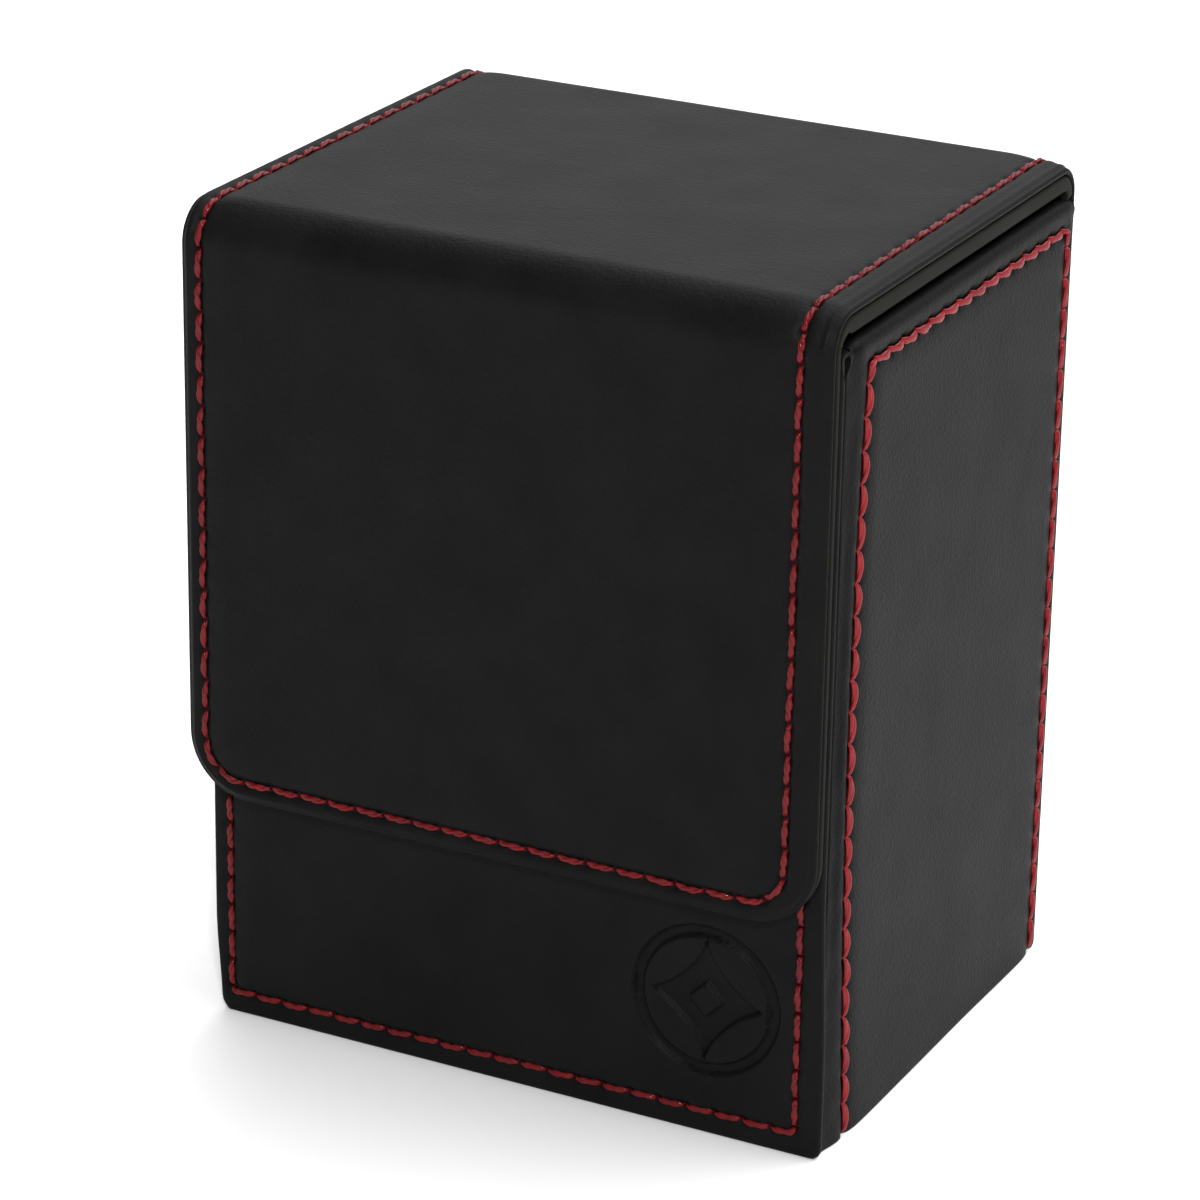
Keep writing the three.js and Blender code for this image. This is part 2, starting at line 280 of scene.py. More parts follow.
def cover_lining_look():
    """The smooth olive-black sheet inside the cover."""
    look = Look("cover_lining", 0.5, specular=0.03)
    grain = look.noise(0.5, detail=3)
    drift = look.noise(14, detail=2)
    look.colour(drift, (0.35, (0.0066, 0.0068, 0.0050)), (0.65, (0.0095, 0.0098, 0.0072)))
    look.rough(drift, 0.46, 0.56)
    look.bump((grain, 0.015))
    return look.material


def microfibre_look():
    """Charcoal brushed microfibre: a short nap with soft light at grazing angles."""
    look = Look("microfibre", 0.95, specular=0.15)
    look.shader.inputs["Sheen Weight"].default_value = 0.35
    look.shader.inputs["Sheen Roughness"].default_value = 0.5
    nap = look.noise(0.18, detail=5)
    strokes = look.noise(7, detail=3, vector=look.stretched((1, 1, 0.35)))
    tone = look.mixed(nap, 0.5, strokes)
    look.colour(tone, (0.36, (0.010, 0.010, 0.011)), (0.64, (0.022, 0.022, 0.024)))
    look.bump((nap, 0.06), (strokes, 0.05))
    return look.material


def greyboard_look():
    """Pressed grey bookbinder's board with visible fibres."""
    look = Look("greyboard", 0.9, specular=0.2)
    fibres = look.noise(0.35, detail=5, vector=look.stretched((1, 1, 0.3)))
    clouds = look.noise(6, detail=3)
    tone = look.mixed(fibres, 0.6, clouds)
    look.colour(tone, (0.35, (0.13, 0.12, 0.105)), (0.65, (0.24, 0.22, 0.195)))
    look.bump((fibres, 0.05))
    return look.material


def thread_look(name, dark, light):
    """Bonded red polyester thread: filaments under a thin glossy coat."""
    look = Look(name, 0.45, specular=0.05)
    look.shader.inputs["Coat Weight"].default_value = 0.3
    look.shader.inputs["Coat Roughness"].default_value = 0.13
    filaments = look.noise(0.14, detail=2)
    drift = look.noise(2.5, detail=2)
    tone = look.mixed(filaments, 0.6, drift)
    look.colour(tone, (0.34, dark), (0.66, light))
    look.rough(filaments, 0.34, 0.5)
    look.bump((filaments, 0.03))
    return look.material


def magnet_look():
    """Nickel-plated steel with fine turning marks."""
    look = Look("magnet_nickel", 0.28, specular=0.5, metallic=1.0)
    marks = look.noise(0.12, detail=2, vector=look.stretched((1, 1, 0.06)))
    look.colour(marks, (0.35, (0.46, 0.46, 0.45)), (0.65, (0.60, 0.60, 0.59)))
    look.rough(marks, 0.2, 0.36)
    look.bump((marks, 0.01))
    return look.material


def floor_look():
    look = Look("pale_floor", 0.8, specular=0.1)
    drift = look.noise(60, detail=2)
    look.colour(drift, (0.3, (0.93, 0.93, 0.93)), (0.7, (0.95, 0.95, 0.95)))
    return look.material


LEATHER = leatherette_look()
COVER_LINING = cover_lining_look()
MICROFIBRE = microfibre_look()
GREYBOARD = greyboard_look()
# One thread in two copies: the side rows' copy has a lighter base colour, painted light standing in
# for the brighter light on the side walls; the cover and front rows keep the deeper red.
THREAD = thread_look("red_thread", dark=(0.075, 0.0016, 0.003), light=(0.15, 0.004, 0.006))
SIDE_THREAD_PAINTED_LIGHTER = thread_look("red_thread_side_painted_lighter", dark=(0.14, 0.006, 0.009), light=(0.27, 0.013, 0.017))
MAGNET = magnet_look()


def add_floor():
    mesh = bpy.data.meshes.new("floor")
    signs = ((-1, -1), (1, -1), (1, 1), (-1, 1))
    corners = [(x * FLOOR_REACH, y * FLOOR_REACH, 0) for x, y in signs]
    mesh.from_pydata(corners, [], [(0, 1, 2, 3)])
    mesh.materials.append(floor_look())
    floor = bpy.data.objects.new("floor", mesh)
    bpy.context.scene.collection.objects.link(floor)


# ---- profiles ----


class Profile:
    """A line in one plane that turns left along arcs. Heights are measured to its right."""

    def __init__(self, start, heading):
        self.point = np.array(start, float)
        self.angle = math.radians(heading)
        self.runs = []
        self.length = 0.0

    def straight(self, length):
        self.runs.append((self.length, self.point, self.angle, 0.0))
        self.point = self.point + length * np.array((math.cos(self.angle), math.sin(self.angle)))
        self.length += length
        return self.length

    def bend(self, radius, degrees=90):
        self.runs.append((self.length, self.point, self.angle, radius))
        right = np.array((math.sin(self.angle), -math.cos(self.angle)))
        centre = self.point - radius * right
        self.angle += math.radians(degrees)
        self.point = centre + radius * np.array((math.sin(self.angle), -math.cos(self.angle)))
        self.length += radius * math.radians(degrees)
        return self.length

    def at(self, s, h):
        """The two coordinates at distance s along the line and height h over it."""
        first, second = np.zeros_like(s), np.zeros_like(s)
        for i, (start, point, angle, radius) in enumerate(self.runs):
            end = self.runs[i + 1][0] if i + 1 < len(self.runs) else np.inf
            here = (s >= start if i else s > -np.inf) & (s < end)
            along, up = s[here] - start, h[here]
            if radius:
                turned = angle + along / radius
                right = (math.sin(angle), -math.cos(angle))
                first[here] = point[0] - radius * right[0] + (radius + up) * np.sin(turned)
                second[here] = point[1] - radius * right[1] - (radius + up) * np.cos(turned)
            else:
                first[here] = point[0] + along * math.cos(angle) + up * math.sin(angle)
                second[here] = point[1] + along * math.sin(angle) - up * math.cos(angle)
        return first, second


# ---- heights ----


def smooth(value, low, high):
    """0 below low, 1 above high, and a smooth rise between them."""
    t = np.clip((value - low) / (high - low), 0, 1)
    return t * t * (3 - 2 * t)


def bell(value, width):
    return np.exp(-((value / width) ** 2))


def nearest_radius(u, v, rect, radii):
    """The radius of the nearest corner. radii: bottom left, bottom right, top right, top left."""
    u0, u1, v0, v1 = rect
    right, top = u > (u0 + u1) / 2, v > (v0 + v1) / 2
    return np.where(top, np.where(right, radii[2], radii[3]), np.where(right, radii[1], radii[0]))


def inside(u, v, rect, radii):
    """How far a point lies inside a rounded rectangle's outline; negative outside."""
    u0, u1, v0, v1 = rect
    radius = nearest_radius(u, v, rect, radii)
    du = np.abs(u - (u0 + u1) / 2) - (u1 - u0) / 2 + radius
    dv = np.abs(v - (v0 + v1) / 2) - (v1 - v0) / 2 + radius
    outside = np.hypot(np.maximum(du, 0), np.maximum(dv, 0))
    return radius - outside - np.minimum(np.maximum(du, dv), 0)


def ripples(u, v, size, seed):
    """Gentle uneven waves of about that size, mostly between -1 and 1."""
    count = 14
    rng = np.random.default_rng(seed)
    total = np.zeros_like(u)
    for _ in range(count):
        way, phase = rng.uniform(0, 2 * math.pi, 2)
        wave = 2 * math.pi / (size * rng.uniform(0.7, 1.8))
        total += np.sin(wave * (u * math.cos(way) + v * math.sin(way)) + phase)
    return total / math.sqrt(count) / 1.5


# What a seam does to the leather, each as (depth, width).
CHANNEL = (0.3, 0.62)
CHANNEL_SHOULDER = (0.12, 1.7)
NEEDLE_HOLE = (0.6, 0.5)
HOLE_PUCKER = (0.08, 1.2)
HOLE_REACH = 2.6


def dip(distance, size):
    depth, width = size
    return depth * bell(distance, width)


def stitch_marks(u, v, line_distance, holes, channel=CHANNEL):
    """The channel that a seam pulls into the leather, with a dimple at each needle hole."""
    h = -dip(line_distance, channel) - dip(line_distance, CHANNEL_SHOULDER)
    for hole_u, hole_v in holes:
        near = (np.abs(u - hole_u) < HOLE_REACH) & (np.abs(v - hole_v) < HOLE_REACH)
        reach = np.hypot(u[near] - hole_u, v[near] - hole_v)
        h[near] -= dip(reach, NEEDLE_HOLE) + dip(reach, HOLE_PUCKER)
    return h


# ---- slabs ----


def grid_lines(low, high, corners, step, stops=()):
    """Grid lines from low to high through the corners' ends and the stops. step is a number, or
    a function of the place that gives the spacing there."""
    within = [stop for stop in stops if low < stop < high]
    marks = sorted({low, low + corners[0], high - corners[1], high, *within})
    lines = [marks[0]]
    for a, b in zip(marks, marks[1:]):
        spacing = step((a + b) / 2) if callable(step) else step
        count = max(1, math.ceil((b - a) / spacing - 1e-6))
        lines += list(np.linspace(a, b, count + 1)[1:])
    return np.array(lines)


def round_corners(u, v, rect, radii):
    """Moves a rectangular grid's points so that its outline has round corners."""
    u0, u1, v0, v1 = rect
    corners = ((u0, v0, -1, -1), (u1, v0, 1, -1), (u1, v1, 1, 1), (u0, v1, -1, 1))
    for (cu, cv, su, sv), r in zip(corners, radii):
        a = su * (u - cu) / r + 1
        b = sv * (v - cv) / r + 1
        here = (a > 0) & (b > 0)
        a, b = a[here], b[here]
        u[here] = cu + su * r * (a * np.sqrt(1 - b * b / 2) - 1)
        v[here] = cv + sv * r * (b * np.sqrt(1 - a * a / 2) - 1)
    return u, v


def edge_ways(u, v, rect, radii):
    """Outward unit vectors at points on a rounded outline."""
    u0, u1, v0, v1 = rect
    radius = nearest_radius(u, v, rect, radii)
    du = u - np.clip(u, u0 + radius, u1 - radius)
    dv = v - np.clip(v, v0 + radius, v1 - radius)
    length = np.hypot(du, dv)
    return du / length, dv / length


def fine_spans(spans, fine, coarse=GRID):
    """A grid spacing that is fine within those spans."""
    return lambda at: fine if any(low < at < high for low, high in spans) else coarse


NOSE_STEPS = 4
LEAST_RADIUS = 0.3


def nose_rings():
    """The rings of a rounded edge as (out, rise, lower), in shares of its radius. lower is 0 for
    the rings that hang from the face and 1 for those that stand on the back."""
    turns = np.linspace(0, math.pi / 2, NOSE_STEPS + 1)
    rings = [(math.sin(t), -(1 - math.cos(t)), 0.0) for t in turns[1:]]
    return rings + [(math.sin(t), 1 - math.cos(t), 1.0) for t in turns[:0:-1]]


class Slab:
    """A closed slab over a rounded rectangle: points as (u, v, h), quads, and which are its back.
    nose is its edge's radius; height and depth give its face and back at (u, v)."""

    def __init__(self, rect, radii, nose, height, depth, step=GRID, stops_u=(), stops_v=()):
        u0, u1, v0, v1 = rect
        inner = (u0 + nose, u1 - nose, v0 + nose, v1 - nose)
        inner_radii = [max(radius - nose, LEAST_RADIUS) for radius in radii]
        bl, br, tr, tl = inner_radii
        u_step, v_step = step if isinstance(step, tuple) else (step, step)
        us = grid_lines(inner[0], inner[1], (max(bl, tl), max(br, tr)), u_step, stops_u)
        vs = grid_lines(inner[2], inner[3], (max(bl, br), max(tl, tr)), v_step, stops_v)
        u, v = np.meshgrid(us, vs)
        u, v = round_corners(u, v, inner, inner_radii)
        rows, columns = u.shape
        u, v = u.ravel(), v.ravel()
        top = height(u, v)
        loop = self.border(rows, columns)
        way_u, way_v = edge_ways(u[loop], v[loop], inner, inner_radii)
        under = -depth(u, v)

        points = [np.stack([u, v, top], 1)]
        rings = [loop]
        count = len(u)
        for out, rise, lower in nose_rings():
            middle = top[loop] * (1 - lower) + under[loop] * lower
            points.append(np.stack([
                u[loop] + nose * out * way_u, v[loop] + nose * out * way_v, middle + nose * rise,
            ], 1))
            rings.append(np.arange(count, count + len(loop)))
            count += len(loop)
        points.append(np.stack([u, v, under], 1))
        rings.append(loop + count)

        cells = self.cells(rows, columns)
        quads = [cells]
        for a, b in zip(rings, rings[1:]):
            quads.append(np.stack([a, b, np.roll(b, -1), np.roll(a, -1)], 1))
        quads.append(cells[:, ::-1] + count)
        self.points = np.concatenate(points)
        self.quads = np.concatenate(quads)
        self.is_back = np.arange(len(self.quads)) >= len(self.quads) - len(cells)

    @staticmethod
    def border(rows, columns):
        index = np.arange(rows * columns).reshape(rows, columns)
        return np.concatenate([index[0], index[1:, -1], index[-1, -2::-1], index[-2:0:-1, 0]])

    @staticmethod
    def cells(rows, columns):
        index = np.arange(rows * columns).reshape(rows, columns)
        corners = (index[:-1, :-1], index[:-1, 1:], index[1:, 1:], index[1:, :-1])
        return np.stack([corner.ravel() for corner in corners], 1)


def add_mesh(name, points_mm, faces, material):
    mesh = bpy.data.meshes.new(name)
    mesh.from_pydata((points_mm * MM).tolist(), [], faces)
    mesh.materials.append(material)
    piece = bpy.data.objects.new(name, mesh)
    bpy.context.scene.collection.objects.link(piece)
    return piece


SMOOTH_BELOW = 52  # degrees; sharper edges than this stay sharp
FLAT_BELOW = 1  # degrees between faces that count as one flat face


def merge_flat_faces(bm, start):
    """Merges the flat faces among those from that index on, leaving their outline as it is."""
    def enclosed(elements):
        return [e for e in elements if all(face.index >= start for face in e.link_faces)]

    bmesh.ops.dissolve_limit(
        bm, angle_limit=math.radians(FLAT_BELOW), use_dissolve_boundaries=False,
        verts=enclosed(bm.verts), edges=enclosed(bm.edges),
    )


def close_mesh(mesh, back_from=None):
    """Caps cut ends, merges a back's flat faces, and shades all but real edges smooth."""
    bm = bmesh.new()
    bm.from_mesh(mesh)
    if back_from is not None:
        merge_flat_faces(bm, back_from)
    open_edges = [e for e in bm.edges if e.is_boundary]
    if open_edges:
        bmesh.ops.holes_fill(bm, edges=open_edges, sides=0)
    bmesh.ops.recalc_face_normals(bm, faces=bm.faces)
    bm.to_mesh(mesh)
    bm.free()
    mesh.shade_smooth()
    mesh.set_sharp_from_angle(angle=math.radians(SMOOTH_BELOW))


def slab_piece(name, slab, place, material, rows=(-np.inf, np.inf), flat=True):
    """The part of a slab between two of its grid rows, laid in place."""
    middle = slab.points[slab.quads, 1].mean(1)
    chosen = (middle > rows[0]) & (middle < rows[1])
    quads, is_back = slab.quads[chosen], slab.is_back[chosen]
    used, compact = np.unique(quads, return_inverse=True)
    quads = compact.reshape(quads.shape)
    points = place(*slab.points[used].T)
    piece = add_mesh(name, points, quads.tolist(), material)
    close_mesh(piece.data, int(np.argmax(is_back)) if flat else None)
    return piece


# ---- thread ----

CORNER_POINTS = 9
TANGENT_REACH = 0.3


def rounded_line(corners, radii, closed):
    """A line through right-angled corners, each turned on its own radius."""
    corners = np.array(corners, float)
    points = []
    for i, (corner, radius) in enumerate(zip(corners, radii)):
        if not closed and i in (0, len(corners) - 1):
            points.append(corner)
            continue
        come = corner - corners[i - 1]
        leave = corners[(i + 1) % len(corners)] - corner
        come, leave = come / np.linalg.norm(come), leave / np.linalg.norm(leave)
        centre = corner - radius * come + radius * leave
        for t in np.linspace(0, math.pi / 2, CORNER_POINTS):
            points.append(centre + radius * (math.sin(t) * come - math.cos(t) * leave))
    if closed:
        points.append(points[0])
    return np.array(points)


class Seam:
    """A row of equal stitches along a line of (u, v) points."""

    def __init__(self, line, pitch):
        steps = np.hypot(*np.diff(line, axis=0).T)
        self.line = line
        self.reach = np.concatenate([[0], np.cumsum(steps)])
        self.count = round(self.reach[-1] / pitch)
        self.pitch = self.reach[-1] / self.count
        self.holes = np.stack(self.at(np.arange(self.count + 1) * self.pitch), 1)

    def at(self, distance):
        return (
            np.interp(distance, self.reach, self.line[:, 0]),
            np.interp(distance, self.reach, self.line[:, 1]),
        )

    def tangent(self, distance):
        a = np.array(self.at(np.clip(distance - TANGENT_REACH, 0, self.reach[-1])))
        b = np.array(self.at(np.clip(distance + TANGENT_REACH, 0, self.reach[-1])))
        way = b - a
        return way / np.linalg.norm(way, axis=0)


# Each ply's distance from the stitch's middle line, its radius, and how flat it is pressed.
PLY = {"count": 2, "offset": 0.15, "radius": 0.3, "steps": 13, "sides": 8, "pressed": 0.6}
END_WIDTH = 0.62  # a stitch's width at its needle holes, as a share of its middle's
WIDENING, RISING = 0.5, 0.42  # powers of the arch: the lower, the sooner a stitch is full
FIRST_TURN = 0.6
JITTER = {"turns": 0.08, "first_turn": 0.25, "bow": 0.05, "slant": 0.05, "proud": 0.02}


def stitch_points(seam, proud, seed, bow, slant, sunk=0.6, gap=0.035, turns=1.1, size=1.0):
    """Two twisted plies for every stitch, from needle hole to needle hole.
    proud: how high a stitch stands over the face, and sunk: how deep its ends lie under it;
    bow: how far it bulges to the left of its line; slant: how far it leans across the line;
    gap: the share of the pitch left free at each end; turns: how often its plies twist;
    size: the thread's thickness, 1 for the plain PLY."""
    rng = np.random.default_rng(seed)
    steps, sides = PLY["steps"], PLY["sides"]
    shape = (seam.count, PLY["count"], steps, sides)
    t = np.linspace(0, 1, steps)[None, None, :, None]
    ply = np.arange(PLY["count"])[None, :, None, None]
    side = np.linspace(0, 2 * math.pi, sides, endpoint=False)[None, None, None, :]
    number = np.arange(seam.count)[:, None, None, None]

    def vary(key):
        return rng.normal(0, JITTER[key], seam.count)[:, None, None, None]

    distance = np.broadcast_to((number + gap + (1 - 2 * gap) * t) * seam.pitch, shape)
    arch = np.sin(math.pi * t)
    taper = size * (END_WIDTH + (1 - END_WIDTH) * arch ** WIDENING)
    twist = 2 * math.pi * (turns + vary("turns")) * t + math.pi * ply
    twist = twist + FIRST_TURN + vary("first_turn")
    across = (bow + vary("bow")) * arch + (slant + vary("slant")) * (t - 0.5)
    across = across + PLY["offset"] * taper * np.cos(twist) + PLY["radius"] * taper * np.cos(side)
    height = -sunk + (sunk + proud + vary("proud") - size * PLY["radius"]) * arch ** RISING
    height = height + PLY["pressed"] * PLY["offset"] * taper * np.sin(twist)
    height = height + (1 + PLY["pressed"]) / 2 * PLY["radius"] * taper * np.sin(side)
    u, v = seam.at(distance.ravel())
    along_u, along_v = seam.tangent(distance.ravel())
    across = np.broadcast_to(across, shape).ravel()
    height = np.broadcast_to(height, shape).ravel()
    points = np.stack([u - along_v * across, v + along_u * across, height], 1)
    return points.reshape(*shape, 3)


def thread_piece(name, stitches, place, rows=(-np.inf, np.inf), material=THREAD):
    """A piece of thread from the stitches whose middles lie between two values of v."""
    middle = stitches[..., 1].mean((1, 2, 3))
    stitches = stitches[(middle > rows[0]) & (middle < rows[1])]
    steps, sides = PLY["steps"], PLY["sides"]
    strands = stitches.shape[0] * stitches.shape[1]
    around = np.arange(sides)
    rings = np.arange(steps - 1)[:, None] * sides
    quads = np.stack([
        rings + around, rings + np.roll(around, -1),
        rings + sides + np.roll(around, -1), rings + sides + around,
    ], -1).reshape(-1, 4)
    faces = []
    for strand in range(strands):
        start = strand * steps * sides
        faces += (quads + start).tolist()
        faces.append((start + around[::-1]).tolist())
        faces.append((start + (steps - 1) * sides + around).tolist())
    flat_points = stitches.reshape(-1, 3)
    piece = add_mesh(name, place(*flat_points.T), faces, material)
    close_mesh(piece.data)
    return piece


# ---- the cover: two layers on one profile ----


def cover_profile(inset):
    """Up the back, over the lid and down the flap, that far inside the cover's outer face."""
    line = Profile((COVER_BACK - inset, BACK_BOTTOM), 90)
    marks = {"back": line.straight(HINGE_Z_BACK - BACK_BOTTOM)}
    marks["lid_back"] = line.bend(BEND_BACK - inset)
    marks["lid_front"] = line.straight(COVER_BACK - COVER_FRONT - BEND_BACK - BEND_FRONT)
    marks["flap"] = line.bend(BEND_FRONT - inset)
    marks["end"] = line.straight(HINGE_Z_FRONT - FLAP_BOTTOM)
    return line, marks


OUTER, AT = cover_profile(0.0)
HINGES = (("back", "lid_back"), ("lid_front", "flap"))  # the marks where each bend starts and ends
HINGE_LINING = 0.5  # the lining's thickness in the middle of a hinge
HINGE_SPARE = 1.2  # how far a hinge piece runs on to the flat on both sides of its bend
HINGE_EASE = (-1.1, 0.4)  # from a bend's end, where its leather begins to thin and where it is thin
HINGE_SIDE = (1.6, 3.0)  # the same, from the cover's sides
HINGE_MARGIN = 0.6  # how far the outer leather stays a whole layer thick beyond a bend
NEEDLE_CLEAR = 0.9  # keeps the last cut away from a needle hole
CUTS = [
    AT["back"] - HINGE_SPARE, AT["lid_back"] + HINGE_SPARE,
    AT["lid_front"] - HINGE_SPARE, AT["flap"] + HINGE_SPARE + NEEDLE_CLEAR,
]
COVER_RECT = (COVER_LEFT, COVER_RIGHT, 0.0, AT["end"])
COVER_RADII = (BACK_CORNER, BACK_CORNER, FLAP_CORNER, FLAP_CORNER)
STITCH_RECT = (
    COVER_LEFT + COVER_INSET["left"], COVER_RIGHT - COVER_INSET["right"],
    COVER_INSET["bottom"], AT["end"] - COVER_INSET["bottom"],
)
STITCH_RADII = (BACK_CORNER, BACK_CORNER, FLAP_STITCH_CORNER, FLAP_STITCH_CORNER)


def rect_corners(rect):
    u0, u1, v0, v1 = rect
    return [(u0, v0), (u1, v0), (u1, v1), (u0, v1)]


def on_cover(profile):
    def place(u, v, h):
        y, z = profile.at(v, h)
        return np.stack([u, y, z], 1)
    return place


# How high each feature of the cover's face stands, or how deep it lies.
COVER_RELIEF = {
    "border_slope": 0.34, "border_crown": 0.10, "pinch": 0.10, "pinch_at_bend": 0.16,
    "rolled_edge": 0.27, "foam": 0.14, "bend_step": 0.24, "waves": 0.05,
}
PINCH_LINE = 1.15  # from the edge
BEND_STEP = AT["flap"] - 2.4


def bend_step(u, v):
    """A soft uneven step across the lower part of the front bend, which fades down the flap."""
    past = v - BEND_STEP
    uneven = 0.8 + 0.3 * ripples(u * 0.5, v * 0.2, 4.0, 11)
    return uneven * smooth(past, -0.6, 0.6) * (1 - smooth(past, 1.5, 16))


def cover_height(seam):
    relief = COVER_RELIEF

    def height(u, v):
        edge = inside(u, v, COVER_RECT, COVER_RADII)
        within = inside(u, v, STITCH_RECT, STITCH_RADII)
        h = stitch_marks(u, v, within, seam.holes)
        # the border slopes to the edge, with a low crown along it
        h -= relief["border_slope"] * smooth(-within, 0.6, 3.0)
        h += relief["border_crown"] * bell(within + 1.5, 0.7)
        # a pinched line runs just inside the rolled edge, sharpest at the front bend
        pinch = relief["pinch"] + relief["pinch_at_bend"] * bell(v - AT["flap"], 2.5)
        h += pinch * bell(edge - PINCH_LINE, 0.3)
        h -= relief["rolled_edge"] * smooth(PINCH_LINE - edge, 0.0, 0.7)
        # thin foam fills the middle
        h += relief["foam"] * smooth(within, 0.4, 4.0)
        middle = smooth(within, 0.5, 5)
        h += relief["bend_step"] * middle * bend_step(u, v)
        h += relief["waves"] * middle * ripples(u, v, 26.0, 3)
        return h
    return height


def hinge_middles(u, v, marks):
    """1 in the middles of the two hinges, which hold no board and have no turned edges."""
    from_side = np.minimum(u - COVER_LEFT, COVER_RIGHT - u)
    share = np.zeros_like(v)
    for start, end in HINGES:
        share += smooth(v - marks[start], *HINGE_EASE) * smooth(marks[end] - v, *HINGE_EASE)
    return share * smooth(from_side, *HINGE_SIDE)


def cover_depth(u, v):
    """The leather is a whole layer thick at its turned edges, and thin over boards and bends."""
    edge = inside(u, v, COVER_RECT, COVER_RADII)
    depth = np.where(edge > TURNED_EDGE, COVER_SKIN, COVER_LAYER)
    for start, end in HINGES:
        in_hinge = (v > AT[start] - HINGE_MARGIN) & (v < AT[end] + HINGE_MARGIN)
        depth = np.where(in_hinge, COVER_LAYER, depth)
    thin = hinge_middles(u, v, AT)
    return depth * (1 - thin) + COVER_SKIN * thin


COVER_PARTS = [
    ("cover_back", "tray", (-np.inf, CUTS[0])),
    ("back_hinge", None, (CUTS[0], CUTS[1])),
    ("lid", "lid", (CUTS[1], CUTS[2])),
    ("front_hinge", None, (CUTS[2], CUTS[3])),
    ("flap", "flap", (CUTS[3], np.inf)),
]


def attach(piece, part, body):
    if body:
        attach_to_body(piece, body)
    elif part == "back_hinge":
        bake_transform(piece)
    else:
        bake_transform(piece)


def build_cover_outer():
    line = rounded_line(rect_corners(STITCH_RECT), STITCH_RADII, closed=True)
    seam = Seam(line, STITCH_PITCH["cover"])
    place = on_cover(OUTER)
    sides = ((COVER_LEFT, STITCH_RECT[0] + 1.5), (STITCH_RECT[1] - 1.5, COVER_RIGHT))
    crosswise = ((BEND_STEP - 1.5, BEND_STEP + 1.5), (STITCH_RECT[3] - 1.5, AT["end"]))
    slab = Slab(
        COVER_RECT, COVER_RADII, COVER_NOSE, cover_height(seam), cover_depth,
        step=(fine_spans(sides, 0.3), fine_spans(crosswise, 0.27, 0.5)),
        stops_u=sum(sides, ()), stops_v=(*CUTS, *sum(crosswise, ())),
    )
    for part, body, rows in COVER_PARTS:
        is_flat = body is not None
        piece = slab_piece(f"{part}_outer", slab, place, LEATHER, rows, is_flat)
        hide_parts(f"{part}_leather")
        attach(piece, part, body)
    build_cover_thread(seam, place)


def build_cover_thread(seam, place):
    """The cover's stitches, cut into the pieces that move. The lid has a left and a right row."""
    stitches = stitch_points(seam, proud=0.14, seed=21, bow=-0.06, slant=0.16)
    is_left = stitches[..., 0].mean((1, 2, 3)) < (COVER_LEFT + COVER_RIGHT) / 2
    for part, body, rows in COVER_PARTS:
        if part == "lid":
            for side, chosen in (("left", is_left), ("right", ~is_left)):
                piece = thread_piece(f"lid_thread_{side}", stitches[chosen], place, rows)
                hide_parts(f"lid_stitching_{side}")
                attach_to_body(piece, "lid")
            continue
        piece = thread_piece(f"{part}_thread", stitches, place, rows)
        if body:
            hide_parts(f"{part}_stitching")
        attach(piece, part, body)


LINING_NOSE = 0.35
LINING_CLEARANCE = 0.15  # between the two layers in the middle of a hinge
LINING_LIFT = COVER_LAYER + GLUE - COVER_SKIN - LINING_CLEARANCE
LINING_RELIEF = {"flap_edge": 0.12, "lid_edge": 0.3, "waves": 0.02}
MAGNET_PRINT = {"radius": 6.0, "depth": 0.07, "width": 0.5}


def magnet_prints(u, v, end):
    """The faint rings that the magnets press into the flap's lining."""
    print_depth = np.zeros_like(u)
    for side in ("left", "right"):
        x, _, z = np.mean(box_mm(f"flap_magnet_{side}"), 0)
        from_middle = np.hypot(u - x, end - v - (z - FLAP_BOTTOM))
        ring = bell(from_middle - MAGNET_PRINT["radius"], MAGNET_PRINT["width"])
        print_depth += MAGNET_PRINT["depth"] * ring
    return print_depth


def lining_depth(rect, radii, at):
    """As thick as the lid's lining over the lid, and as the flap's lining elsewhere."""
    on_flap = np.subtract(*box_mm("flap_lining")[::-1])[1]
    on_lid = np.subtract(*box_mm("lid_lining")[::-1])[2]

    def depth(u, v):
        past_back = smooth(v, at["back"], at["lid_back"])
        past_front = smooth(v, at["lid_front"], at["flap"])
        full = on_lid * past_back + on_flap * (1 - past_back)
        full = full * (1 - past_front) + on_flap * past_front
        edge = inside(u, v, rect, radii)
        full += np.where(
            v < at["lid_front"],
            LINING_RELIEF["lid_edge"] * (1 - smooth(edge, 1.0, 3.0)),
            LINING_RELIEF["flap_edge"] * (smooth(edge, 0.5, 3.0) - 1),
        )
        full -= LINING_RELIEF["waves"] * (1 + ripples(u, v, 22, 4)) + magnet_prints(u, v, at["end"])
        thin = hinge_middles(u, v, at)
        return full * (1 - thin) + (HINGE_LINING - LINING_LIFT) * thin
    return depth


def build_cover_lining():
    """The inner layer, from the back hinge over the lid and down the flap."""
    profile, at = cover_profile(COVER_LAYER + GLUE)
    rect = (COVER_LEFT, COVER_RIGHT, at["back"] - HINGE_SPARE, at["end"])
    radii = (1.2, 1.2, FLAP_CORNER, FLAP_CORNER)
    cuts = [at["lid_back"] + HINGE_SPARE, at["lid_front"] - HINGE_SPARE, at["flap"] + HINGE_SPARE]

    def height(u, v):
        return LINING_LIFT * hinge_middles(u, v, at)

    slab = Slab(
        rect, radii, LINING_NOSE, height, lining_depth(rect, radii, at), step=1.1,
        stops_v=[at["back"], *cuts],
    )
    rows = zip((-np.inf, *cuts), (*cuts, np.inf))
    for (part, body, _), between in zip(COVER_PARTS[1:], rows):
        piece = slab_piece(
            f"{part}_inner", slab, on_cover(profile), COVER_LINING, between,
            flat=False,
        )
        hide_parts(f"{part}_lining")
        attach(piece, part, body)


# ---- the tray's walls ----

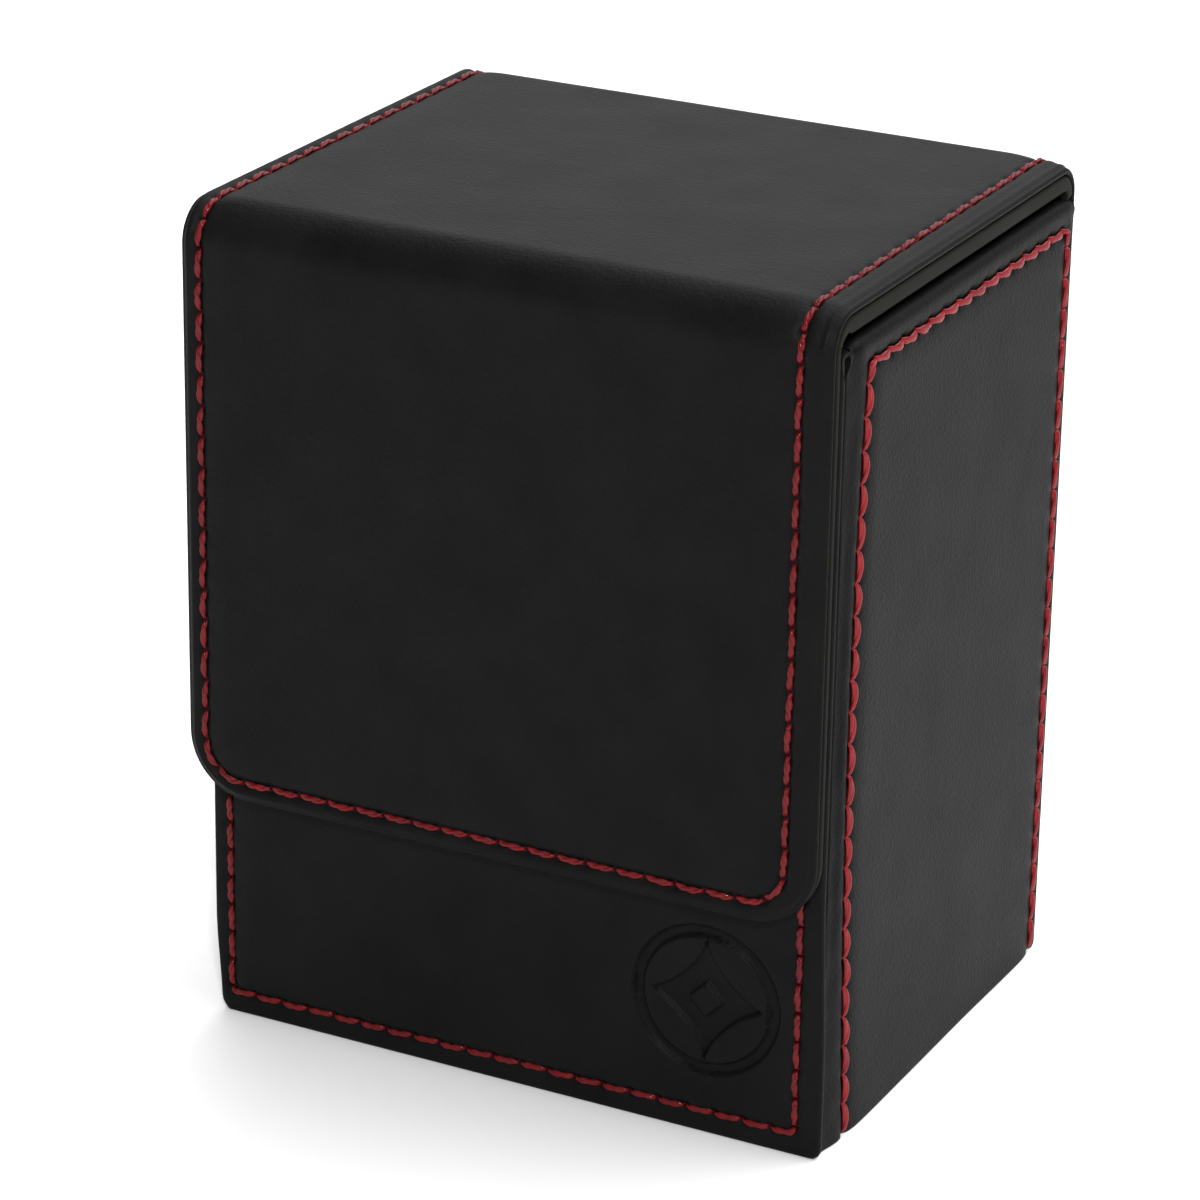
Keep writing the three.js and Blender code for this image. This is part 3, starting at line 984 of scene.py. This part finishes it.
ROLL_OUT = 1.6  # radius where a wall's leather turns over the rim
ROLL_IN = 0.6  # radius where it turns down inside
SKIN = 1.3  # a wall's leather with its foam
CAP_SKIN = 0.5  # the same leather where it is skived to go over the rim
SKIVED_FROM = 3  # how far under the rim's turn the skiving starts
FINE_GRID = 0.28
EDGE_PRESSED = 0.6  # how far the flap has pressed the tray's front right edge inward
CORNER_DRAWN = 0.7  # how far the front's lower left corner is drawn in
WALL_START = SIDE_LOW[1] - FRONT  # how far behind the front face the side walls start


def wall_profile(outside, inner):
    """Up a wall's outside, over the rim, and down on its inside. Distances from the middle."""
    line = Profile((outside, 0.0), 90)
    marks = {"roll": line.straight(RIM - ROLL_OUT)}
    marks["top"] = line.bend(ROLL_OUT)
    marks["in"] = line.straight(outside - inner - ROLL_OUT - ROLL_IN)
    marks["end"] = line.bend(ROLL_IN)
    return line, marks


def wall_depth(marks):
    def depth(u, v):
        return SKIN + (CAP_SKIN - SKIN) * smooth(v, marks["roll"] - SKIVED_FROM, marks["roll"])
    return depth


EMBLEM_CENTRE = (RIGHT - 15.6, 18.0)
EMBLEM_SPANS = (RIGHT - 26.5, RIGHT - 4.7), (7.5, 28.5)
EMBLEM_DEPTH = 0.8
RING_RADIUS = 9.1
HOLLOWNESS = 0.72  # 1 would give the lozenge straight sides
LOZENGE_REACH = (7.4, 8.4)
HEART_REACH = (2.0, 2.6)


def emblem(x, z):
    """A generic pressed mark: a ring round a hollow-sided lozenge with a raised heart."""
    u, v = np.abs(x - EMBLEM_CENTRE[0]), np.abs(z - EMBLEM_CENTRE[1])
    ring = 1 - smooth(np.abs(np.hypot(u, v) - RING_RADIUS), 0.45, 0.95)
    star = (u ** HOLLOWNESS + v ** HOLLOWNESS) ** (1 / HOLLOWNESS)
    lozenge = 1 - smooth(star, *LOZENGE_REACH)
    heart = 1 - smooth(u + v, *HEART_REACH)
    return -EMBLEM_DEPTH * np.maximum(ring, lozenge - heart)


FRONT_CHANNEL = (0.26, 0.62)
FRONT_RELIEF = {"border_slope": 0.16, "waves": 0.03, "foam": 0.10}
FRONT_STITCH_RADII = (0.6,) * 4


def front_height(seam, line_rect):
    relief = FRONT_RELIEF

    def height(u, v):
        within = inside(u, v, line_rect, FRONT_STITCH_RADII)
        h = stitch_marks(u, v, within, seam.holes, FRONT_CHANNEL)
        h -= relief["border_slope"] * smooth(-within, 0.5, 3.2)
        h += emblem(u, v)
        h += relief["waves"] * ripples(u, v, 24.0, 5) * smooth(within, 0.5, 5)
        # the foam is full only where the flap doesn't press it
        below_flap = 1 - smooth(v, FLAP_BOTTOM - 3, FLAP_BOTTOM + 1)
        h += relief["foam"] * below_flap * smooth(within, 0.4, 4.0)
        return h
    return height


def on_front(profile):
    """Lays (u, v, h) on the front wall. Its top narrows inward to meet the side walls' tops."""
    middle, half = (LEFT + RIGHT) / 2, (RIGHT - LEFT) / 2

    def place(u, v, h):
        away, z = profile.at(v, h)
        inward = -FRONT - profile.at(v, np.zeros_like(v))[0]
        mitre = 1 - inward * smooth(inward, 0.9, WALL_START) / half
        x = middle + (u - middle) * mitre
        by_right_edge = smooth(u, RIGHT - 2.5, RIGHT - 0.6) * (1 - smooth(inward, 0, 1))
        x -= EDGE_PRESSED * smooth(v, 12, 35) * by_right_edge
        x += CORNER_DRAWN * (1 - smooth(v, 0, 14)) * (1 - smooth(u, LEFT + 0.4, LEFT + 2.2))
        return np.stack([x, -away, z], 1)
    return place


def build_front_wall():
    profile, marks = wall_profile(-FRONT, -box_mm("front_lining")[1][1])
    place = on_front(profile)
    line_rect = (
        LEFT + FRONT_INSET["left"], RIGHT - FRONT_INSET["right"],
        FRONT_INSET["bottom"], RIM - FRONT_INSET["top"],
    )
    line = rounded_line(rect_corners(line_rect), FRONT_STITCH_RADII, closed=True)
    seam = Seam(line, STITCH_PITCH["front"])
    rect = (LEFT, RIGHT, 0.0, marks["end"])
    radii = (1.9, 1.3, 0.8, 0.8)
    emblem_u, emblem_v = EMBLEM_SPANS
    step = (
        fine_spans([emblem_u], FINE_GRID),
        fine_spans([emblem_v, (marks["roll"], np.inf)], FINE_GRID),
    )
    slab = Slab(
        rect, radii, 0.5, front_height(seam, line_rect), wall_depth(marks), step,
        stops_u=emblem_u, stops_v=(*emblem_v, marks["roll"], marks["top"], marks["in"]),
    )
    piece = slab_piece("front_skin", slab, place, LEATHER, flat=False)
    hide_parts("front_leather")
    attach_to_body(piece, "tray")
    thread = thread_piece("front_thread", stitch_points(seam, 0.1, 31, bow=0.0, slant=0.1), place)
    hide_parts("front_stitching")
    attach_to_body(thread, "tray")


# The side seam runs from this much above the base, up, across and down again.
SIDE_SEAM_START = 0.6
SEAM_BEND = {"curve": 0.00082, "height": 55, "shift": -0.6}  # of the side wall's front seam
SIDE_RELIEF = {
    "front_border": 0.7, "border_crown": 0.12, "gathers": 0.05,
    "back_border": 0.2, "foam": 0.12, "waves": 0.05,
}


def side_height(seam, line_rect):
    relief = SIDE_RELIEF

    def height(u, v):
        within = inside(u, v, line_rect, (0.5,) * 4)
        before = line_rect[0] - u
        h = stitch_marks(u, v, within, seam.holes)
        # the border before the front seam lies lower, crowned and gathered by the thread
        h -= relief["front_border"] * smooth(before, 0.5, 4.2)
        h += relief["border_crown"] * bell(before - 2.0, 1.0)
        h += relief["gathers"] * ripples(u, v * 0.4, 2.4, 8) * smooth(before, 0.6, 1.6)
        h -= relief["back_border"] * smooth(u - line_rect[1], 0.3, 1.6)
        h += relief["foam"] * smooth(within, 0.3, 3.5)
        h += relief["waves"] * ripples(u, v, 30.0, 7) * smooth(within, 0.5, 6)
        return h
    return height


def on_side(profile, outside, way, seam_u, roll):
    """Lays (u, v, h) on a side wall. Its top is mitred to meet the front wall's top."""
    front = SIDE_LOW[1]

    def place(u, v, h):
        away, z = profile.at(v, h)
        inward = way * outside - profile.at(v, np.zeros_like(v))[0]
        mitre = np.maximum(inward - WALL_START, 0) * (BACK - u) / (BACK - front)
        # the front seam is not quite straight
        lean = SEAM_BEND["curve"] * (v - SEAM_BEND["height"]) ** 2 + SEAM_BEND["shift"]
        lean *= smooth(u, front + 0.3, seam_u - 1) * (1 - smooth(u, seam_u + 1, seam_u + 15))
        lean *= 1 - smooth(v, roll - SKIVED_FROM, roll)
        return np.stack([way * away, u + mitre + lean, z], 1)
    return place


def build_side_wall(side, outside, way):
    """way is the direction along X that the wall faces."""
    inner = way * box_mm(f"{side}_lining")[0 if way > 0 else 1][0]
    profile, marks = wall_profile(way * outside, inner)
    # the rectangle goes on below the base, so that the seam's two legs stay open there
    line_rect = (
        FRONT + SIDE_INSET["front"], BACK - SIDE_INSET["back"], -40.0, RIM - SIDE_INSET["top"],
    )
    front_u, back_u, _, top_v = line_rect
    start = SIDE_SEAM_START
    corners = [(front_u, start), (front_u, top_v), (back_u, top_v), (back_u, start)]
    seam = Seam(rounded_line(corners, (0, 0.5, 0.5, 0), closed=False), STITCH_PITCH["side"])
    place = on_side(profile, outside, way, front_u, marks["roll"])
    slab = Slab(
        (SIDE_LOW[1], BACK, 0.0, marks["end"]), (0.9, 0.9, 0.8, 0.8), 0.3,
        side_height(seam, line_rect), wall_depth(marks),
        step=(GRID, fine_spans([(marks["roll"], np.inf)], 0.32)),
        stops_v=(marks["roll"], marks["top"], marks["in"]),
    )
    piece = slab_piece(f"{side}_skin", slab, place, LEATHER, flat=False)
    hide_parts(f"{side}_leather")
    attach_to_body(piece, "tray")
    stitches = stitch_points(
        seam, proud=0.36, seed=41, bow=-0.24, slant=-0.1, sunk=0.45, gap=0.0, turns=0.5, size=1.25,
    )
    # the side rows use the thread copy whose lighter colour is painted light
    thread = thread_piece(f"{side}_thread", stitches, place, material=SIDE_THREAD_PAINTED_LIGHTER)
    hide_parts(f"{side}_stitching")
    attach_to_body(thread, "tray")


PANEL_GRID = 1.2
PANEL_WAVES = 0.03
RESTS_UNDER = 0.02  # how far a panel's face lies inside its CAD box


def plain_panel(name, node, axis, way, material, nose=0.25, corner=0.6, pillow=0.0, seed=1):
    """A thin panel in a CAD node's box. Its good side faces way (+1 or -1) along axis."""
    low, high = box_mm(node)
    flat = [i for i in range(3) if i != axis]
    rect = (low[flat[0]], high[flat[0]], low[flat[1]], high[flat[1]])
    thick = high[axis] - low[axis]
    face = high[axis] if way > 0 else low[axis]

    def height(u, v):
        edge = inside(u, v, rect, (corner,) * 4)
        waves = PANEL_WAVES * ripples(u, v, 18, seed) * smooth(edge, 1, 5)
        return pillow * (smooth(edge, 0, 3) - 1) + waves - RESTS_UNDER

    def depth(u, v):
        return np.full_like(u, thick)

    def place(u, v, h):
        point = np.zeros((len(u), 3))
        point[:, flat[0]], point[:, flat[1]], point[:, axis] = u, v, face + way * h
        return point

    slab = Slab(rect, (corner,) * 4, nose, height, depth, PANEL_GRID)
    piece = slab_piece(name, slab, place, material, flat=True)
    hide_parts(node)
    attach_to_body(piece, "tray")


BACK_LINING_THICK = 0.45
BACK_LINING_UNDER = 0.03


def build_back_lining():
    """Microfibre up the inside of the back wall and over its rim."""
    low, high = box_mm("back_lining")
    profile = Profile((-low[1], low[2]), 90)
    turn = profile.straight(high[2] - low[2] - ROLL_IN)
    profile.bend(ROLL_IN)
    end = profile.straight(high[1] - low[1] - ROLL_IN)
    rect, corners = (low[0], high[0], 0.0, end), (0.6,) * 4

    def place(u, v, h):
        toward, z = profile.at(v, h)
        return np.stack([u, -toward, z], 1)

    def height(u, v):
        edge = inside(u, v, rect, corners)
        return PANEL_WAVES * ripples(u, v, 18, 9) * smooth(edge, 1, 5) - BACK_LINING_UNDER

    def depth(u, v):
        return np.full_like(u, BACK_LINING_THICK)

    slab = Slab(rect, corners, 0.2, height, depth, PANEL_GRID, stops_v=[turn])
    piece = slab_piece("back_inside", slab, place, MICROFIBRE, flat=False)
    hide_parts("back_lining")
    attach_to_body(piece, "tray")


def build_tray():
    build_front_wall()
    build_side_wall("left", LEFT, -1)
    build_side_wall("right", RIGHT, 1)
    plain_panel("base_skin", "base_leather", 2, -1, LEATHER, nose=0.3, corner=2.0,
                pillow=0.1, seed=13)
    plain_panel("base_inside", "base_lining", 2, 1, MICROFIBRE, seed=14)
    plain_panel("front_inside", "front_lining", 1, 1, MICROFIBRE, seed=15)
    plain_panel("left_inside", "left_lining", 0, 1, MICROFIBRE, seed=16)
    plain_panel("right_inside", "right_lining", 0, -1, MICROFIBRE, seed=17)
    build_back_lining()


def finish_cad_nodes():
    """Boards and magnets keep their CAD shapes and get their own materials."""
    for name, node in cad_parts.items():
        if node.hide_render:
            continue
        material = MAGNET if "magnet" in name else GREYBOARD
        for slot in node.material_slots:
            slot.material = material


add_camera()
add_lights()
add_world()
add_floor()
build_cover_outer()
build_cover_lining()
build_tray()
finish_cad_nodes()
